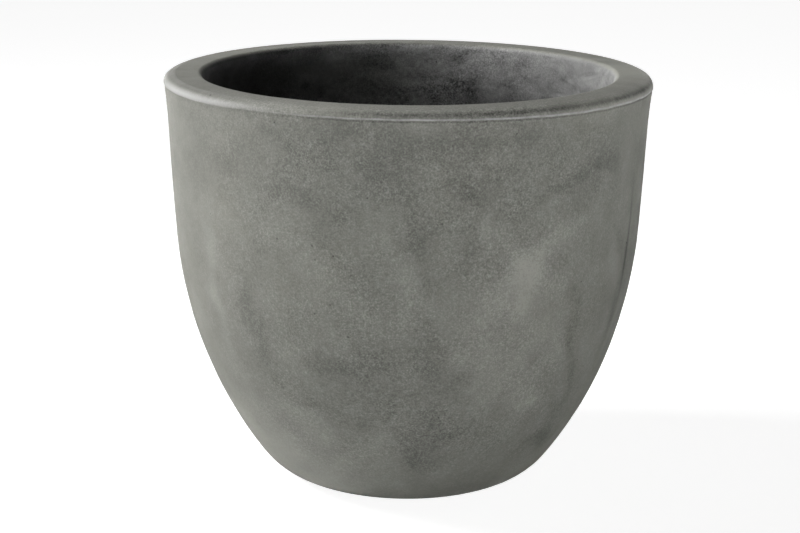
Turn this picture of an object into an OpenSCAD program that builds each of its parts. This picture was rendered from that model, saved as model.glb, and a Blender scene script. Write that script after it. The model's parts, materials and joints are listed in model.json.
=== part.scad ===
// Bowl planter cast in concrete, with its steel cage, drain sleeve and stopper.
// Millimetres, +Z up, origin on the ground at the centre of the foot.

/* [Bowl] */
// Widest diameter, across the bead of the rim
rim_d = 500; // [440:5:580]
// Height from the ground to the flat top of the rim
height = 425; // [385:5:500]
// Diameter of the flat foot
foot_d = 195; // [160:5:220]
// Thickness of the wall and of the floor, square to the outer face
wall = 38.5; // [34:0.5:46]
// Slope of the straight upper wall, in degrees from upright
draft = 3.25; // [1:0.25:6]
// Height at which the straight wall starts to curve inwards
belly_h = 268; // [240:2:290]
// Radius of the curve that runs into the foot
heel_r = 70; // [60:1:85]

/* [Rim] */
// Depth of the bead's oval upper edge under the flat top
bead_h = 8.5; // [6:0.5:13]
// How far that edge reaches in over the rim
bead_reach = 13; // [8:1:18]
// Height of the upright band under the oval edge
bead_band = 1; // [0.5:0.5:3]
// How far the bead stands out past the wall under it
bead_step = 0.5; // [0.3:0.1:2]
// How far the top of the wall flares out under the bead
flare = 1; // [0.2:0.2:3]
// Height of the wall's flared part
flare_h = 46; // [20:2:70]
// Radius of the rounded inner edge
lip_r = 6; // [4:0.5:12]

/* [Drain] */
// Bore of the drain sleeve
drain_d = 25; // [18:1:32]
// Thickness of the sleeve's tube
sleeve_t = 2.5; // [1.5:0.5:4]
// How far the sleeve's flange reaches past its tube
flange_reach = 11; // [9:1:16]
// Thickness of the flange, which lies flush in the floor
flange_t = 3; // [2:0.5:5]
// How far the water stop stands out round the tube
stop_reach = 5; // [3:0.5:8]
// Thickness of the water stop
stop_t = 2.5; // [1.5:0.5:4]
// How far the tube ends above the ground
sleeve_lift = 1; // [0.5:0.5:3]

/* [Stopper] */
// How far the stopper's head reaches past the bore
head_reach = 7.5; // [4:0.5:9]
// Thickness of the head
head_t = 5; // [3:0.5:8]
// Radius of the head's rounded upper edge
head_round = 1.6; // [0.4:0.1:2.4]
// Length of the stem inside the sleeve
stem_l = 20; // [12:1:30]
// How much thinner in radius the stem is at its tip
stem_taper = 0.8; // [0.2:0.1:1.5]
// Space between the stem and the bore, all round
stem_play = 0.3; // [0.2:0.1:0.6]
// Diameter of the round knob that it is pulled by
knob_d = 16; // [12:1:20]
// Diameter of the neck under the knob
neck_d = 9; // [6:1:11]
// Length of the neck between the head and the knob
neck_l = 5; // [3:1:10]

/* [Steel cage] */
// Diameter of the steel bar
bar_d = 5; // [4:0.5:6]
// Number of bars that run down the wall
rib_count = 8; // [6:1:12]
// Concrete between the outer face and the hoops
cover = 14.5; // [12:0.5:16]
// Gap between two bars where they cross
bar_gap = 0.4; // [0.3:0.1:0.8]
// Depth of the rim hoop under the top of the rim
rim_hoop_drop = 28; // [22:1:40]
// Height between one hoop and the next
hoop_pitch = 95; // [80:1:98]
// Radius of the ring in the foot
base_ring_r = 58; // [50:1:70]
// How far each wall bar runs past its last hoop
bar_overrun = 9; // [8:1:12]
// Diameter of the tie wire
tie_d = 1.6; // [1:0.2:2.4]
// Play between a tie and the two bars that it holds
tie_play = 0.3; // [0.2:0.1:0.6]
// Play round the drain sleeve where it is cast in
cast_play = 0.2; // [0.1:0.05:0.4]

/* [Hidden] */
$fn = 72;
shell_fn = 180;
arc_step = 2.5;        // degrees from one point of an outline's arc to the next
round_step = 11.25;    // the same for the small roundings
flare_steps = 8;       // lengths that the flared part of the wall is drawn in
bar_sag = 0.1;         // how far a bent bar's short lengths cut inside its true curve
bar_sides = 12;        // sides of a bent bar
tie_fn = 48;           // facets of a tie, and of the wire in it
wire_fn = 24;
tie_slant = 45;        // degrees that a tie leans across its two bars
past = 1;              // how far a cut runs past the face that it opens

concrete_grey = [0.50, 0.50, 0.475];
steel_grey = [0.36, 0.35, 0.34];
wire_grey = [0.28, 0.27, 0.26];
sleeve_grey = [0.22, 0.23, 0.24];
rubber_black = [0.09, 0.09, 0.09];

// The outer face, as radius and height: a wall that is flared at its top and straight below, the
// belly's arc and the heel's arc, each tangent to the next, and the heel tangent to the ground.
rim_r = rim_d / 2;
foot_r = foot_d / 2;
inward = [-cos(draft), sin(draft)];
wall_top = [rim_r - bead_step, height - bead_h - bead_band];
belly_start = [wall_top[0] - flare - (wall_top[1] - belly_h) * tan(draft), belly_h];
heel_centre = [foot_r, heel_r];
heel_to_start = belly_start - heel_centre;
belly_r = (heel_to_start * heel_to_start - pow(heel_r, 2))
        / (-2 * (heel_to_start * inward) - 2 * heel_r);
belly_centre = belly_start + belly_r * inward;
heel_start = heel_centre - belly_centre;
heel_a = atan2(heel_start[1], heel_start[0]);

// The sleeve and the stopper
sleeve_d = drain_d + 2 * sleeve_t;
flange_d = sleeve_d + 2 * flange_reach;
stop_d = sleeve_d + 2 * stop_reach;
stop_z = (wall - flange_t) / 2;
stem_r = drain_d / 2 - stem_play;
head_d = drain_d + 2 * head_reach;
neck_top_z = wall + head_t + neck_l;
knob_z = neck_top_z + sqrt(pow(knob_d / 2, 2) - pow(neck_d / 2, 2));

// The cage: hoops outside and wall bars inside them, tied where they cross
hoop_depth = cover + bar_d / 2;
rib_depth = hoop_depth + bar_d + bar_gap;
hoop_names = ["rim_hoop", "upper_hoop", "middle_hoop", "lower_hoop"];
hoop_zs = [for (i = [0 : len(hoop_names) - 1]) height - rim_hoop_drop - i * hoop_pitch];
rib_top_z = hoop_zs[0] + bar_overrun;
rib_foot_r = base_ring_r - bar_overrun;
rib_pitch_a = 360 / rib_count;
rib_names = [for (i = [1 : rib_count]) str("wall_rib_", i)];
tie_depth = (hoop_depth + rib_depth) / 2;
tie_r = (rib_depth - hoop_depth) / 2 + bar_d / 2 + tie_play + tie_d / 2;

// Points of an arc about a centre, from angle a0 to a1, about one for each step of degrees
function arc(centre, r, a0, a1, step) =
    let (n = ceil(abs(a1 - a0) / step))
    [for (i = [0 : n]) let (a = a0 + (a1 - a0) * i / n) centre + r * [cos(a), sin(a)]];

// Radius at height z of the surface that lies at a given depth behind the outer face
function depth_r(z, depth) =
    let (
        straight_z = belly_start[1] + depth * inward[1],
        heel_z = belly_centre[1] + (belly_r - depth) * sin(heel_a)
    )
    z >= straight_z
        ? belly_start[0] - depth / cos(draft) + (z - belly_start[1]) * tan(draft)
        : z >= heel_z
            ? belly_centre[0] + sqrt(pow(belly_r - depth, 2) - pow(z - belly_centre[1], 2))
            : heel_centre[0] + sqrt(pow(heel_r - depth, 2) - pow(z - heel_centre[1], 2));

// Outline from the foot up to the straight wall, at a given depth behind the outer face
function belly_outline(depth) = concat(
    arc(heel_centre, heel_r - depth, -90, heel_a, arc_step),
    tail(arc(belly_centre, belly_r - depth, heel_a, -draft, arc_step))
);

// Points of a quarter of an oval about a centre, from its outer end up to its top
function oval(centre, reach, rise, step) =
    [for (p = arc([0, 0], 1, 0, 90, step)) centre + [reach * p[0], rise * p[1]]];

// Outline of the wall's flared part, up to the bead
function flare_outline() = [
    for (i = [0 : flare_steps])
        let (t = i / flare_steps, z = wall_top[1] - flare_h * (1 - t))
        [belly_start[0] + (z - belly_start[1]) * tan(draft) + flare * t * t, z]
];

function tail(list) = [for (i = [1 : len(list) - 1]) list[i]];

function reversed(list) = [for (i = [len(list) - 1 : -1 : 0]) list[i]];

// Half section of the casting
function bowl_outline() =
    let (lip_z = height - lip_r)
    concat(
        [[0, 0]],
        belly_outline(0),
        flare_outline(),
        [[rim_r, wall_top[1] + bead_band / 2]],
        oval([rim_r - bead_reach, height - bead_h], bead_reach, bead_h, round_step),
        arc([depth_r(lip_z, wall - lip_r), lip_z], lip_r, 90, 180 - draft, round_step),
        reversed(belly_outline(wall)),
        [[0, wall]]
    );

// The sleeve's outside, with the tube run down to a given height
module sleeve_form(tube_z, play) {
    translate([0, 0, tube_z]) cylinder(d = sleeve_d + 2 * play, h = wall - tube_z);
    translate([0, 0, wall - flange_t - play]) cylinder(d = flange_d + 2 * play, h = flange_t + play);
    translate([0, 0, stop_z - play]) cylinder(d = stop_d + 2 * play, h = stop_t + 2 * play);
}

// Angle below level at which the face at height z looks outwards, at a given depth
function face_a(z, depth) =
    let (
        straight_z = belly_start[1] + depth * inward[1],
        heel_z = belly_centre[1] + (belly_r - depth) * sin(heel_a)
    )
    z >= straight_z
        ? -draft
        : z >= heel_z
            ? asin((z - belly_centre[1]) / (belly_r - depth))
            : asin((z - heel_centre[1]) / (heel_r - depth));

// A hoop of bar at a given radius and height
module hoop(r, z) {
    translate([0, 0, z]) rotate_extrude() translate([r, 0]) circle(d = bar_d);
}

// Stations along a wall bar, each its centre and the angle at which the wall there looks outwards
function rib_stations() = concat(
    [[[depth_r(rib_top_z, rib_depth), rib_top_z], -draft]],
    arc_stations(belly_centre, belly_r - rib_depth, -draft, heel_a),
    tail(arc_stations(heel_centre, heel_r - rib_depth, heel_a, -90)),
    [[[rib_foot_r, rib_depth], -90]]
);

function arc_stations(centre, r, a0, a1) =
    let (n = ceil(abs(a1 - a0) / (2 * acos(1 - bar_sag / r))))
    [for (i = [0 : n]) let (a = a0 + (a1 - a0) * i / n) [centre + r * [cos(a), sin(a)], a]];

// One wall bar: down the straight wall, round the belly and the heel, then in to the foot's ring
module rib() {
    stations = rib_stations();
    last = len(stations) - 1;
    points = [
        for (s = stations, j = [0 : bar_sides - 1])
            let (t = j * 360 / bar_sides, out = bar_d / 2 * cos(t))
            [s[0][0] + out * cos(s[1]), bar_d / 2 * sin(t), s[0][1] + out * sin(s[1])]
    ];
    sides = [
        for (i = [0 : last - 1], j = [0 : bar_sides - 1])
            let (k = (j + 1) % bar_sides, a = i * bar_sides, b = a + bar_sides)
            each [[a + j, b + j, b + k], [a + j, b + k, a + k]]
    ];
    ends = [
        for (j = [1 : bar_sides - 2])
            each [[0, j, j + 1], last * bar_sides * [1, 1, 1] + [0, j + 1, j]]
    ];
    polyhedron(points, concat(sides, ends));
}

module placed_rib(i) {
    rotate([0, 0, rib_a(i)]) rib();
}

function rib_a(i) = rib_pitch_a / 2 + i * rib_pitch_a;

// One turn of tie wire, slantwise round the bars that cross at a given point between them
module tie(centre, a) {
    translate([centre[0], 0, centre[1]])
        rotate([0, -a, 0])
            rotate([tie_slant, 0, 0])
                rotate_extrude($fn = tie_fn) translate([tie_r, 0]) circle(d = tie_d, $fn = wire_fn);
}

module tie_wires() {
    color(wire_grey)
        for (i = [0 : rib_count - 1])
            rotate([0, 0, rib_a(i)]) {
                for (z = hoop_zs)
                    let (a = face_a(z, hoop_depth), on_hoop = [depth_r(z, hoop_depth), z])
                        tie(on_hoop - (tie_depth - hoop_depth) * [cos(a), sin(a)], a);
                tie([base_ring_r, tie_depth], -90);
            }
}

module bowl_shell() {
    color(concrete_grey)
        difference() {
            rotate_extrude($fn = shell_fn) polygon(bowl_outline());
            sleeve_form(-past, cast_play);
            translate([0, 0, wall - flange_t]) cylinder(d = flange_d + 2 * cast_play, h = flange_t + past);
        }
}

module drain_sleeve() {
    color(sleeve_grey)
        difference() {
            sleeve_form(sleeve_lift, 0);
            translate([0, 0, sleeve_lift - past]) cylinder(d = drain_d, h = wall + 2 * past);
        }
}

module drain_plug() {
    color(rubber_black) {
        translate([0, 0, wall - stem_l]) cylinder(r1 = stem_r - stem_taper, r2 = stem_r, h = stem_l);
        translate([0, 0, wall])
            rotate_extrude()
                polygon(concat(
                    [[0, 0], [head_d / 2, 0]],
                    arc([head_d / 2 - head_round, head_t - head_round], head_round, 0, 90, round_step),
                    [[0, head_t]]
                ));
        translate([0, 0, neck_top_z - neck_l - past]) cylinder(d = neck_d, h = neck_l + 2 * past);
        translate([0, 0, knob_z]) sphere(d = knob_d);
    }
}

bowl_shell();
drain_sleeve();
drain_plug();
for (i = [0 : len(hoop_names) - 1])
    color(steel_grey) hoop(depth_r(hoop_zs[i], hoop_depth), hoop_zs[i]);
color(steel_grey) hoop(base_ring_r, hoop_depth);  // base_ring
for (i = [0 : rib_count - 1])
    color(steel_grey) placed_rib(i);
tie_wires();
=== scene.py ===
"""Looks of a deep bowl planter cast in concrete.

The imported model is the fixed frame. The casting is drawn again over it as one closed surface of
revolution, with the uneven faces and worn edges of a hand-finished casting. The drain's sleeve and
its rubber stopper are drawn the same way, with rounded edges. The steel cage, which the concrete
hides, keeps its solids and gets rusty steel. Each material is built from procedural nodes. Lengths
are metres and angles are degrees.
"""

from __future__ import annotations

import json
import logging
import math
from dataclasses import dataclass
from enum import Enum
from typing import Any

import bpy
import numpy as np
from mathutils import Matrix, Vector

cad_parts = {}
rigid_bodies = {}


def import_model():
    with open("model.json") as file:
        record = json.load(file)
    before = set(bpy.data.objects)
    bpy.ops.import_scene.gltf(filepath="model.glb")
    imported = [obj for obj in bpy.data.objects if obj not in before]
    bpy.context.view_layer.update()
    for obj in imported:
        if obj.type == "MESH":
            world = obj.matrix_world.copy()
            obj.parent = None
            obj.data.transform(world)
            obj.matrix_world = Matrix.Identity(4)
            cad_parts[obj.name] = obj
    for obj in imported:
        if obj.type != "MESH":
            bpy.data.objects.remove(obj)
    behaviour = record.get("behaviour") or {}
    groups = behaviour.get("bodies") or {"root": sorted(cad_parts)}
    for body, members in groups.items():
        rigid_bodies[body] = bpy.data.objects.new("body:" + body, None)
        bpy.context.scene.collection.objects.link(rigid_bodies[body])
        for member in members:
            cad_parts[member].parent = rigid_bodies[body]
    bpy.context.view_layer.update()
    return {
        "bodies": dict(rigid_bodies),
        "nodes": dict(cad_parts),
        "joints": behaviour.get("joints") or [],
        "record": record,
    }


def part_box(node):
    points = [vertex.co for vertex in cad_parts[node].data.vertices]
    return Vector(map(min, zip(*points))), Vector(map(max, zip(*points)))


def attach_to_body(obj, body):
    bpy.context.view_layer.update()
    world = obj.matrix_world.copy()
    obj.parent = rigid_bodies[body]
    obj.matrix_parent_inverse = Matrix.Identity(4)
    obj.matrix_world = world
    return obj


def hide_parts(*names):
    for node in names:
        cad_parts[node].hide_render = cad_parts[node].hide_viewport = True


log = logging.getLogger("planter")

MM = 0.001


# ---------------------------------------------------------------------------------------------
# Surfaces worked out as arrays
# ---------------------------------------------------------------------------------------------


def stretch(start: tuple[float, float], end: tuple[float, float], step: float) -> np.ndarray:
    """Points along a straight line, without its last one.

    Args:
        start: Radius and height of the first point.
        end: Radius and height where the next stretch starts.
        step: Distance from one point to the next, about.

    Returns:
        An array of one row for each point: start + (end - start) * k / n.
    """
    first, last = np.array(start), np.array(end)
    count = max(1, round(float(np.linalg.norm(last - first)) / step))
    return first + (last - first) * (np.arange(count) / count)[:, None]


def bend(centre: tuple[float, float], radius: float, start: float, end: float, step: float) -> np.ndarray:
    """Points along an arc, without its last one.

    Args:
        centre: Radius and height of the arc's centre.
        radius: The arc's own radius.
        start: Angle of the first point, from level and outwards.
        end: Angle where the next stretch starts.
        step: Distance from one point to the next, about.

    Returns:
        An array of one row for each point: centre + radius * (cos a, sin a).
    """
    count = max(2, round(abs(math.radians(end - start)) * radius / step))
    angles = np.radians(start + (end - start) * np.arange(count) / count)
    return np.array(centre) + radius * np.stack([np.cos(angles), np.sin(angles)], axis=1)


def quarter_oval(centre: tuple[float, float], reach: float, rise: float, step: float) -> np.ndarray:
    """Points along a quarter of an oval, from its outer end to just before its top.

    Args:
        centre: Radius and height of the oval's centre.
        reach: Its half width.
        rise: Its half height.
        step: Distance from one point to the next, about.

    Returns:
        An array of one row for each point: centre + (reach * cos a, rise * sin a).
    """
    count = max(4, round(math.pi / 4 * (reach + rise) / step))
    angles = math.pi / 2 * np.arange(count) / count
    return np.array(centre) + np.stack([reach * np.cos(angles), rise * np.sin(angles)], axis=1)


def rounded(corners: list[tuple[float, float, float]], closed: bool, steps: int = 6) -> np.ndarray:
    """A line of straight stretches whose corners are rounded.

    Args:
        corners: Radius, height and rounding of each corner. A rounding of 0 leaves it sharp.
        closed: Whether the last corner joins the first. Both are left sharp if not.
        steps: Number of stretches in each rounding.

    Returns:
        The points, one row each, with one more on either side of each rounding to keep its neighbours flat.
    """
    places = np.array(corners)[:, :2]
    made = []
    for index, (place, rounding) in enumerate(zip(places, np.array(corners)[:, 2])):
        if rounding == 0 or (not closed and index in (0, len(corners) - 1)):
            made.append(place[None, :])
            continue
        back, on = places[index - 1] - place, places[(index + 1) % len(places)] - place
        back, on = back / np.linalg.norm(back), on / np.linalg.norm(on)
        half_turn = math.acos(float(np.clip(back @ on, -1, 1))) / 2
        reach = rounding / math.tan(half_turn)
        middle = place + (back + on) / np.linalg.norm(back + on) * rounding / math.sin(half_turn)
        first, last = place + back * reach - middle, place + on * reach - middle
        turn = math.atan2(first[0] * last[1] - first[1] * last[0], float(first @ last))
        angles = math.atan2(first[1], first[0]) + turn * np.linspace(0, 1, steps + 1)
        arc = middle + rounding * np.stack([np.cos(angles), np.sin(angles)], axis=1)
        margin = 0.1 * rounding
        made.append(np.concatenate([[place + back * (reach + margin)], arc, [place + on * (reach + margin)]]))
    return np.concatenate(made)


def ripple(points: np.ndarray, wavelength: float, seed: int, waves: int = 16) -> np.ndarray:
    """A smooth random field: the sum of plane sine waves in random directions.

    Args:
        points: Places, one row each.
        wavelength: Middle length of the waves.
        seed: Chooses the directions and phases.
        waves: How many waves are added up.

    Returns:
        One value for each point, which varies by about 1 either way.
    """
    rng = np.random.default_rng(seed)
    directions = rng.normal(size=(points.shape[1], waves))
    directions /= np.linalg.norm(directions, axis=0)
    lengths = wavelength * rng.uniform(0.7, 1.4, waves)
    phases = rng.uniform(0, 2 * math.pi, waves)
    return np.sin(points @ (directions * 2 * math.pi / lengths) + phases).sum(axis=1) / math.sqrt(waves / 2)


def smooth_step(value: np.ndarray, low: float, high: float) -> np.ndarray:
    """Rises from 0 at low to 1 at high, as 3 t squared - 2 t cubed."""
    t = np.clip((value - low) / (high - low), 0, 1)
    return t * t * (3 - 2 * t)


def section_normals(section: np.ndarray) -> np.ndarray:
    """Outward normals of a closed half section that runs outwards along its foot, then up and over.

    Args:
        section: Radius and height of each point.

    Returns:
        A unit normal for each point: the way from the last point to the next, turned by a right angle.
    """
    along = np.roll(section, -1, axis=0) - np.roll(section, 1, axis=0)
    normals = np.stack([along[:, 1], -along[:, 0]], axis=1)
    return normals / np.linalg.norm(normals, axis=1, keepdims=True)


def turned(section: np.ndarray, columns: int) -> tuple[np.ndarray, np.ndarray]:
    """Turns a half section, or its normals, about Z.

    Args:
        section: Radius and height of each point, or the same two parts of each normal.
        columns: How many times the section is set round the axis.

    Returns:
        The points as an array of rows, columns and (x, y, z), and the angle of each column.
    """
    angles = 2 * math.pi * np.arange(columns) / columns
    radius, height = section[:, :1], section[:, 1:]
    grid = np.stack(
        [radius * np.cos(angles), radius * np.sin(angles), np.broadcast_to(height, (len(section), columns))],
        axis=2,
    )
    return grid, angles


def grid_faces(rows: int, columns: int, closed: bool) -> np.ndarray:
    """Four corners of each face of a grid whose columns go right round.

    Args:
        rows: Number of points along the grid.
        columns: Number of points round it.
        closed: Whether the last row joins the first.

    Returns:
        An array of four point numbers for each face, with the outside on the left-hand turn.
    """
    row = np.arange(rows if closed else rows - 1)[:, None]
    column = np.arange(columns)[None, :]
    above, beside = (row + 1) % rows, (column + 1) % columns
    corners = [row * columns + column, row * columns + beside, above * columns + beside, above * columns + column]
    return np.stack([np.broadcast_to(c, (len(row), columns)) for c in corners], axis=2).reshape(-1, 4)


def mesh_object(name: str, points: np.ndarray, faces: list[list[int]]) -> bpy.types.Object:
    """Makes a smooth mesh object at the origin.

    Args:
        name: Name of the piece.
        points: Places, one row each.
        faces: Point numbers of each face.

    Returns:
        The new object, linked to the scene.
    """
    mesh = bpy.data.meshes.new(name)
    mesh.from_pydata(points.tolist(), [], faces)
    mesh.validate()
    mesh.shade_smooth()
    made = bpy.data.objects.new(name, mesh)
    bpy.context.scene.collection.objects.link(made)
    return made


def ring_object(name: str, grid: np.ndarray) -> bpy.types.Object:
    """Makes a mesh object of a grid that closes on itself both ways, as a ring does."""
    rows, columns = grid.shape[:2]
    return mesh_object(name, grid.reshape(-1, 3), grid_faces(rows, columns, closed=True).tolist())


def capped_object(name: str, grid: np.ndarray) -> bpy.types.Object:
    """Makes a mesh object of a grid whose first and last rows are each closed to their middle point.

    Args:
        name: Name of the piece.
        grid: The points as an array of rows, columns and (x, y, z).

    Returns:
        The new object, linked to the scene.
    """
    rows, columns = grid.shape[:2]
    points = np.concatenate([grid.reshape(-1, 3), [grid[0].mean(axis=0)], [grid[-1].mean(axis=0)]])
    here = np.arange(columns)
    beside = (here + 1) % columns
    first_pole, last_pole = rows * columns, rows * columns + 1
    top = (rows - 1) * columns
    low_cap = np.stack([beside, here, np.full(columns, first_pole)], axis=1)
    high_cap = np.stack([top + here, top + beside, np.full(columns, last_pole)], axis=1)
    faces = grid_faces(rows, columns, closed=False).tolist() + low_cap.tolist() + high_cap.tolist()
    return mesh_object(name, points, faces)


def point_values(made: bpy.types.Object, name: str, values: np.ndarray) -> None:
    """Stores one number for each point of a mesh, for its material to read.

    Args:
        made: The mesh object.
        name: Name of the attribute.
        values: One number for each point.
    """
    attribute = made.data.attributes.new(name, "FLOAT", "POINT")
    attribute.data.foreach_set("value", values.astype(np.float32).ravel())


# ---------------------------------------------------------------------------------------------
# Materials as Python expressions
# ---------------------------------------------------------------------------------------------


class Value:
    """A number in a material. Python's operators on it add Math nodes."""

    def __init__(self, graph: Graph, socket: bpy.types.NodeSocket) -> None:
        """Wraps an output socket of the graph's nodes."""
        self.graph = graph
        self.socket = socket

    def math(self, operation: str, *others: Value | float) -> Value:
        """Applies a Math operation to this value and the others."""
        return self.graph.math(operation, self, *others)

    def __add__(self, other: Value | float) -> Value:
        """Adds."""
        return self.math("ADD", other)

    __radd__ = __add__

    def __sub__(self, other: Value | float) -> Value:
        """Subtracts the other."""
        return self.math("SUBTRACT", other)

    def __rsub__(self, other: float) -> Value:
        """Is subtracted from the other."""
        return self.graph.math("SUBTRACT", other, self)

    def __mul__(self, other: Value | float) -> Value:
        """Multiplies."""
        return self.math("MULTIPLY", other)

    __rmul__ = __mul__

    def __truediv__(self, other: Value | float) -> Value:
        """Divides by the other."""
        return self.math("DIVIDE", other)

    def step(self, low: float, high: float) -> Value:
        """Rises smoothly from 0 to 1, or falls where low is the larger.

        Args:
            low: Where it is 0.
            high: Where it is 1.

        Returns:
            The step, from 0 to 1.
        """
        settings = {"interpolation_type": "SMOOTHSTEP"}
        inputs = {"Value": self, "From Min": low, "From Max": high, "To Min": 0.0, "To Max": 1.0}
        return Value(self.graph, self.graph.node("ShaderNodeMapRange", settings, inputs).outputs[0])

    def near(self, centre: float, reach: float) -> Value:
        """Is 1 at a centre and falls smoothly to 0 at a distance of reach on both sides."""
        return (self - centre).math("ABSOLUTE").step(reach, 0.0)


class Graph:
    """The nodes of one material or world."""

    def __init__(self, tree: bpy.types.NodeTree) -> None:
        """Empties the tree."""
        self.tree = tree
        tree.nodes.clear()

    def node(
        self,
        kind: str,
        settings: dict[str, Any] | None = None,
        inputs: dict[str | int, Any] | None = None,
    ) -> bpy.types.Node:
        """Adds a node.

        Args:
            kind: The node's type.
            settings: Its own settings, such as a Math node's operation.
            inputs: Values or links of its sockets, by name or number.

        Returns:
            The node.
        """
        made = self.tree.nodes.new(kind)
        for key, value in (settings or {}).items():
            setattr(made, key, value)
        for key, value in (inputs or {}).items():
            socket = made.inputs[key]
            if isinstance(value, Value):
                self.tree.links.new(value.socket, socket)
            elif isinstance(value, bpy.types.NodeSocket):
                self.tree.links.new(value, socket)
            else:
                socket.default_value = value
        return made

    def math(self, operation: str, *values: Value | float) -> Value:
        """Adds a Math node on numbers and values."""
        made = self.node("ShaderNodeMath", {"operation": operation}, dict(enumerate(values)))
        return Value(self, made.outputs[0])

    def vector(self, operation: str, *values: Any) -> bpy.types.NodeSocket:
        """Adds a Vector Math node and returns its vector."""
        return self.node("ShaderNodeVectorMath", {"operation": operation}, dict(enumerate(values))).outputs[0]

    def place(self) -> bpy.types.NodeSocket:
        """The point's place, as Object coordinates."""
        return self.node("ShaderNodeTexCoord").outputs["Object"]

    def parts(self, vector: bpy.types.NodeSocket) -> tuple[Value, Value, Value]:
        """The three numbers of a vector."""
        outputs = self.node("ShaderNodeSeparateXYZ", None, {0: vector}).outputs
        return Value(self, outputs[0]), Value(self, outputs[1]), Value(self, outputs[2])

    def noise(
        self,
        place: bpy.types.NodeSocket,
        size: float,
        detail: float = 2.0,
        roughness: float = 0.5,
        distortion: float = 0.0,
    ) -> Value:
        """Cloudy noise.

        Args:
            place: Where it is read.
            size: Size of its largest features.
            detail: How many finer layers it has.
            roughness: How strong they are.
            distortion: How far it is stirred.

        Returns:
            The noise, from 0 to 1 about 0.5.
        """
        inputs = {
            "Vector": place,
            "Scale": 1 / size,
            "Detail": detail,
            "Roughness": roughness,
            "Distortion": distortion,
        }
        return Value(self, self.node("ShaderNodeTexNoise", {"noise_dimensions": "3D"}, inputs).outputs["Fac"])

    def cells(self, place: bpy.types.NodeSocket, size: float) -> tuple[Value, Value]:
        """Scattered points, one in each cell.

        Args:
            place: Where they are read.
            size: Size of a cell.

        Returns:
            The distance to the nearest point, over the cell size, and that point's random number.
        """
        inputs = {"Vector": place, "Scale": 1 / size, "Randomness": 1.0}
        made = self.node("ShaderNodeTexVoronoi", {"feature": "F1"}, inputs)
        chance = self.node("ShaderNodeSeparateColor", None, {0: made.outputs["Color"]})
        return Value(self, made.outputs["Distance"]), Value(self, chance.outputs[0])

    def attribute(self, name: str) -> Value:
        """A number that the mesh stores for each point."""
        return Value(self, self.node("ShaderNodeAttribute", {"attribute_name": name}).outputs["Fac"])

    def scaled(self, place: bpy.types.NodeSocket, x: float, y: float, z: float) -> bpy.types.NodeSocket:
        """The place with each axis multiplied."""
        return self.vector("MULTIPLY", place, (x, y, z))

    def mix(self, factor: Value | float, first: Any, second: Any) -> bpy.types.NodeSocket:
        """Mixes two colours, through the sockets 6, 7 and 2 that a Mix node has for them."""
        settings = {"data_type": "RGBA", "clamp_factor": True}
        return self.node("ShaderNodeMix", settings, {0: factor, 6: first, 7: second}).outputs[2]

    def bump(self, height: Value) -> bpy.types.NodeSocket:
        """Turns a height in millimetres into a normal."""
        inputs = {"Strength": 1.0, "Distance": MM, "Height": height}
        return self.node("ShaderNodeBump", None, inputs).outputs[0]


def rgba(colour: tuple[float, float, float], gain: float = 1.0) -> tuple[float, float, float, float]:
    """A colour times a gain, with full opacity."""
    return colour[0] * gain, colour[1] * gain, colour[2] * gain, 1.0


@dataclass(frozen=True)
class Finish:
    """A material that is built from nodes. Each kind of finish adds its own looks."""

    name: str
    colour: tuple[float, float, float]

    def material(self) -> bpy.types.Material:
        """Builds the material.

        Returns:
            The material, named after the finish.
        """
        made = bpy.data.materials.new(self.name)
        made.use_nodes = True
        made.diffuse_color = rgba(self.colour)
        graph = Graph(made.node_tree)
        shader = graph.node("ShaderNodeBsdfPrincipled", None, self.looks(graph))
        graph.node("ShaderNodeOutputMaterial", None, {0: shader.outputs[0]})
        return made

    def looks(self, graph: Graph) -> dict[str, Any]:
        """Values and links of the shader's sockets."""
        raise NotImplementedError


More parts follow.
